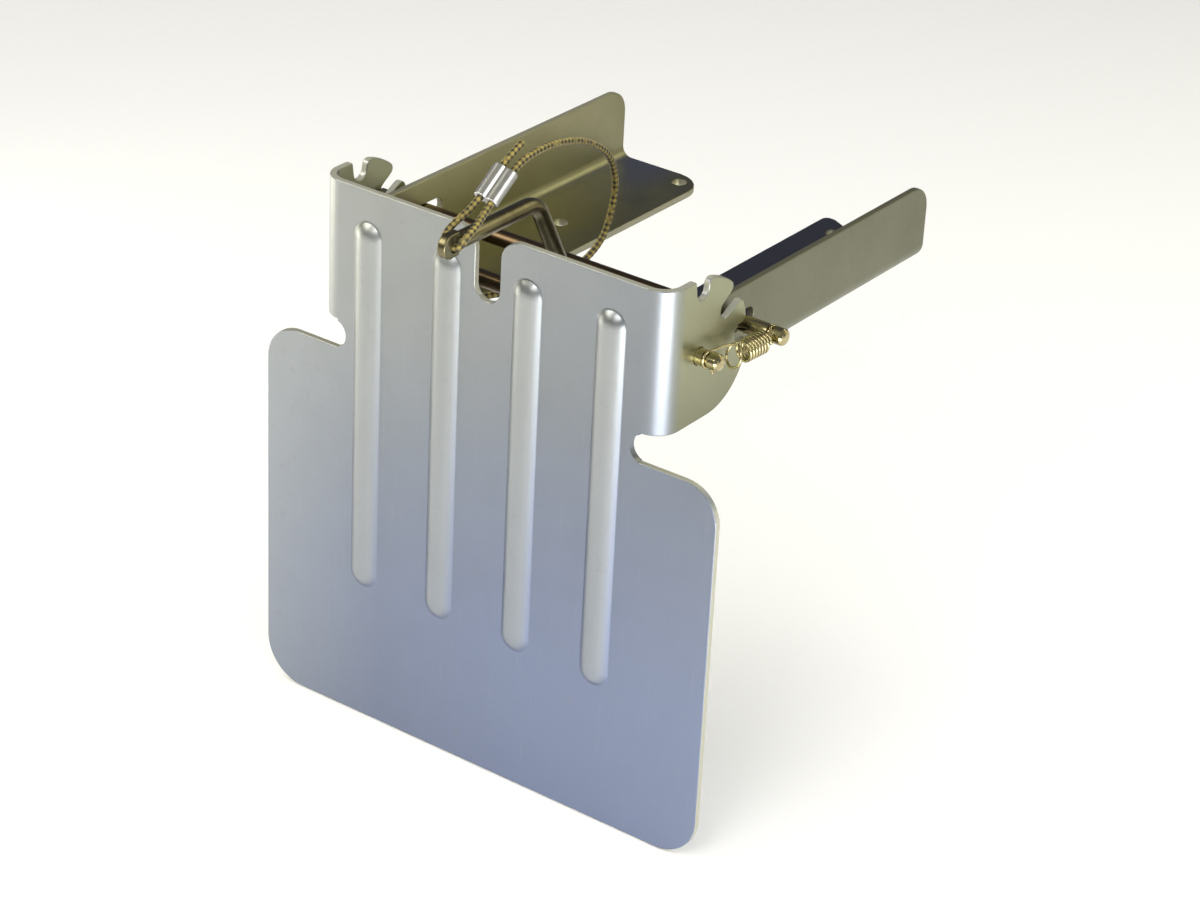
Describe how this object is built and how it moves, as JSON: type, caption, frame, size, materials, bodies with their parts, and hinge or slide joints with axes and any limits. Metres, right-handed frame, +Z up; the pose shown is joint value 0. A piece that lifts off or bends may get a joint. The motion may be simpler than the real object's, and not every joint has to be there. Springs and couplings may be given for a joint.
{
  "type": "trolling plate",
  "caption": "Hinged trolling plate for an outboard motor: ribbed plate with notched ears on two angle brackets, pivot rod, spring-loaded lock rod and release lever with a pull cord.",
  "frame": {"origin": "centre of the four outer bolt holes, on the underside of the two bracket flanges, where the plate is bolted to the motor's anti-ventilation plate", "axes": "+X across the plate, +Y from the plate forward towards the motor, +Z up"},
  "size_m": [0.3048, 0.3118, 0.3696],
  "materials": {
    "plate_aluminium": "satin tumbled sheet",
    "bracket_aluminium": "satin tumbled sheet",
    "plated_steel": "yellow passivated zinc plate",
    "lever_steel": "dark yellow passivated zinc plate",
    "spring_wire": "plated spring wire",
    "ferrule_aluminium": "bright",
    "cord_braid": "tight braid, gold and black"
  },
  "bodies": {
    "root": {"left_bracket": "bracket_aluminium", "right_bracket": "bracket_aluminium", "pivot_rod": "plated_steel", "left_spring": "spring_wire", "right_spring": "spring_wire"},
    "plate": {"trolling_plate": "plate_aluminium"},
    "lock": {"lock_rod": "plated_steel", "release_lever": "lever_steel", "lever_weld": "lever_steel", "crimp_ferrule": "ferrule_aluminium", "pull_cord": "cord_braid", "cord_coil": "cord_braid", "cord_knot": "cord_braid"}
  },
  "joints": [
    {"name": "plate_swing", "type": "hinge", "parent": "root", "child": "plate", "pos_m": [0, -0.16343, 0.02791], "axis": [1, 0, 0], "range_deg": [-90, 0]},
    {"name": "lock_slide", "type": "slide", "parent": "root", "child": "lock", "axis": [0, 1, 0], "range_m": [-0.0098, 0.0085], "deforming": ["left_spring", "right_spring"]}
  ]
}
